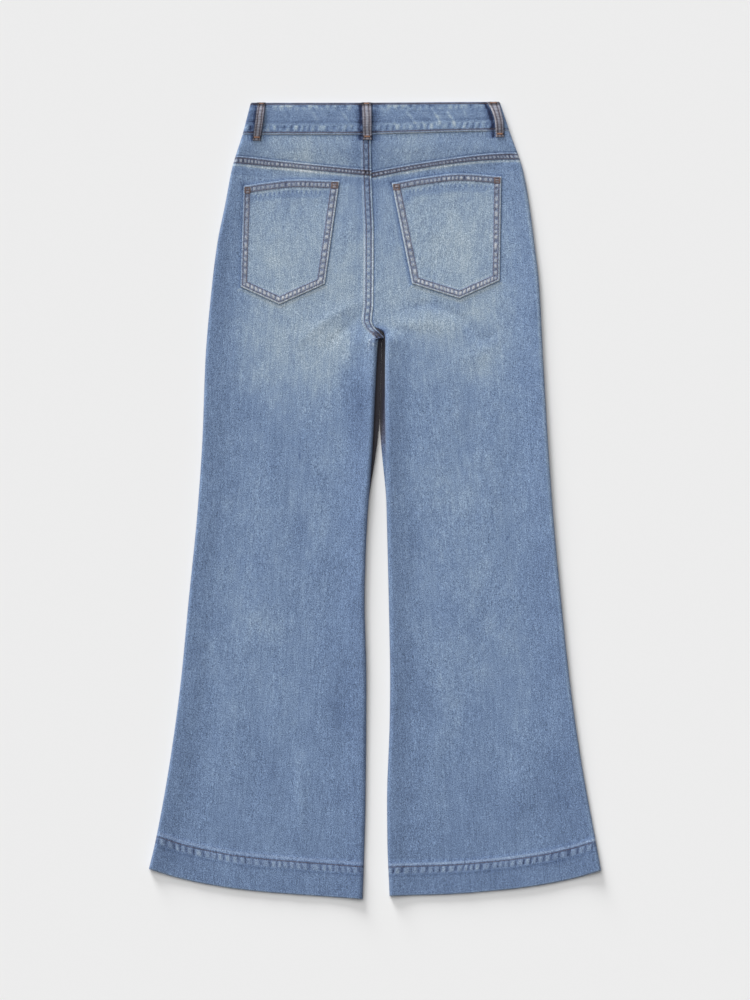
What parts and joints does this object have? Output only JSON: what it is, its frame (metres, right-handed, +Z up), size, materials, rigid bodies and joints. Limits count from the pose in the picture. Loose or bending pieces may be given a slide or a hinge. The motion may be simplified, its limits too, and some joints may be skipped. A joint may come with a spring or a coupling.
{
  "type": "bootcut jeans",
  "caption": "Wide bootcut jeans in washed light blue denim, laid flat with the back up: waistband, belt loops, yokes, felled seams, patch pockets, flared legs and deep hems.",
  "frame": {"origin": "centre of the bounding box, on the surface that the jeans lie on", "axes": "+Y towards the waist, +Z up from the surface, +X to the right of the back view"},
  "size_m": [0.5771, 1.0208, 0.0131],
  "materials": {
    "denim": "washed denim twill",
    "band_denim": "washed denim twill, less faded",
    "loop_denim": "denim under brown topstitching",
    "button_metal": "aged copper"
  },
  "bodies": {
    "root": {"waistband": "band_denim", "yoke_left": "denim", "yoke_right": "denim", "back_left": "denim", "back_right": "denim", "pocket_left": "denim", "pocket_right": "denim", "front_left": "denim", "front_right": "denim", "belt_loop_left": "loop_denim", "belt_loop_centre": "loop_denim", "belt_loop_right": "loop_denim", "belt_loop_front_left": "loop_denim", "belt_loop_front_right": "loop_denim", "button": "button_metal"}
  },
  "joints": []
}
